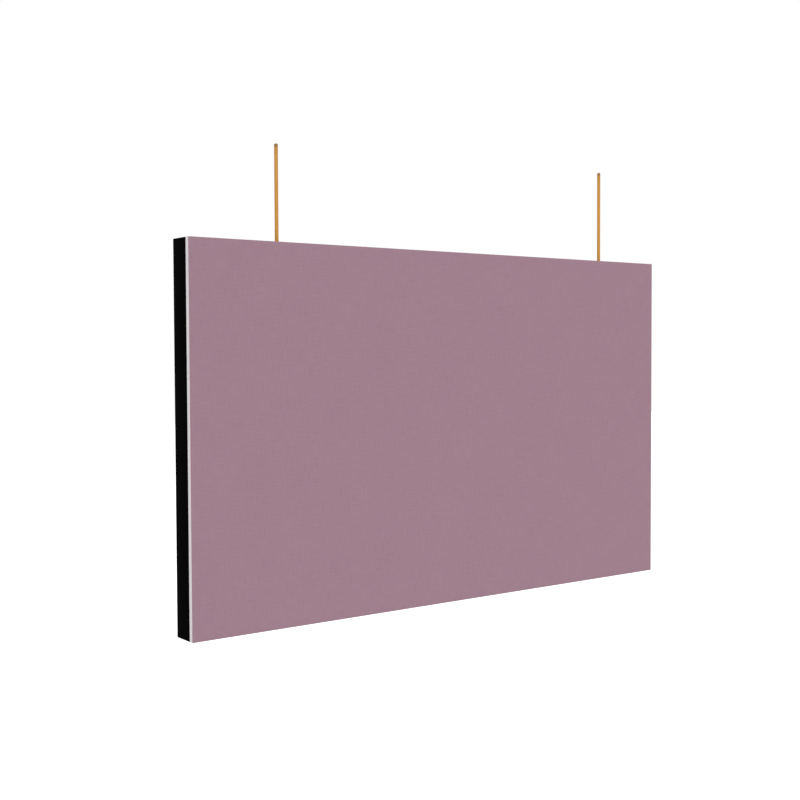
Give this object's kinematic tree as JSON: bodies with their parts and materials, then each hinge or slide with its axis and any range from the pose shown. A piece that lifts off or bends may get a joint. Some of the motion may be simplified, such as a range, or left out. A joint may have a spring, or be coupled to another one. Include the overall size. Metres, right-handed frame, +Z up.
{
  "type": "acoustic baffle",
  "caption": "Suspended rectangular acoustic baffle: black framed edge, mauve textile faces, clip-on front board and two golden rods on sliding, levelling hangers.",
  "frame": {"origin": "midway between the two suspension rods, on their common plane, 150 mm above the baffle's top edge, where the ceiling fittings take hold of the rods", "axes": "+X along the baffle's width, from the end with the shorter rod to the end with the longer one; +Y from the front facing to the rear; +Z up along the rods"},
  "size_m": [1, 0.05, 0.769],
  "materials": {
    "frame_coat": "deep matt black powder coat",
    "key_aluminium": "mill",
    "screw_steel": "zinc plated",
    "mineral_wool": "matte",
    "black_fleece": "matte",
    "felt_board": "matte",
    "mauve_textile": "matte",
    "socket_plastic": "matte",
    "stud_plastic": "satin",
    "slider_steel": "zinc plated",
    "nut_brass": "satin",
    "rod_brass": "satin lacquer"
  },
  "bodies": {
    "baffle": {"frame_top": "frame_coat", "frame_bottom": "frame_coat", "frame_left": "frame_coat", "frame_right": "frame_coat", "corner_key_top_left": "key_aluminium", "corner_key_top_right": "key_aluminium", "corner_key_bottom_left": "key_aluminium", "corner_key_bottom_right": "key_aluminium", "key_screws": "screw_steel", "core_slab": "mineral_wool", "front_fleece": "black_fleece", "rear_fleece": "black_fleece", "rear_board": "felt_board", "rear_textile": "mauve_textile", "clip_sockets": "socket_plastic"},
    "facing": {"facing_board": "felt_board", "facing_textile": "mauve_textile", "clip_studs": "stud_plastic"},
    "hanger_left": {"slider_left": "slider_steel", "clamp_screws_left": "screw_steel"},
    "leveller_left": {"level_nut_left": "nut_brass", "thumb_wheel_left": "nut_brass"},
    "rod_left": {"rod_left": "rod_brass"},
    "hanger_right": {"slider_right": "slider_steel", "clamp_screws_right": "screw_steel"},
    "leveller_right": {"level_nut_right": "nut_brass", "thumb_wheel_right": "nut_brass"},
    "rod_right": {"rod_right": "rod_brass"}
  },
  "joints": [
    {"name": "facing_pull", "type": "slide", "parent": "baffle", "child": "facing", "axis": [0, -1, 0], "range_m": [0, 0.06]},
    {"name": "left_hanger_slide", "type": "slide", "parent": "baffle", "child": "hanger_left", "axis": [1, 0, 0], "range_m": [-0.08, 0.25]},
    {"name": "right_hanger_slide", "type": "slide", "parent": "baffle", "child": "hanger_right", "axis": [1, 0, 0], "range_m": [-0.25, 0.037]},
    {"name": "left_level_turn", "type": "hinge", "parent": "hanger_left", "child": "leveller_left", "pos_m": [-0.3565, 0, -0.15], "axis": [0, 0, 1], "range_deg": [-2160, 900]},
    {"name": "left_rod_height", "type": "slide", "parent": "hanger_left", "child": "rod_left", "axis": [0, 0, 1], "range_m": [-0.0025, 0.006]},
    {"name": "right_level_turn", "type": "hinge", "parent": "hanger_right", "child": "leveller_right", "pos_m": [0.3565, 0, -0.15], "axis": [0, 0, 1], "range_deg": [-2160, 900]},
    {"name": "right_rod_height", "type": "slide", "parent": "hanger_right", "child": "rod_right", "axis": [0, 0, 1], "range_m": [-0.0025, 0.006]}
  ],
  "couplings": [
    {"joint": "left_level_turn", "follows": "left_rod_height", "rad_per_m": -6283.2},
    {"joint": "right_level_turn", "follows": "right_rod_height", "rad_per_m": -6283.2}
  ]
}
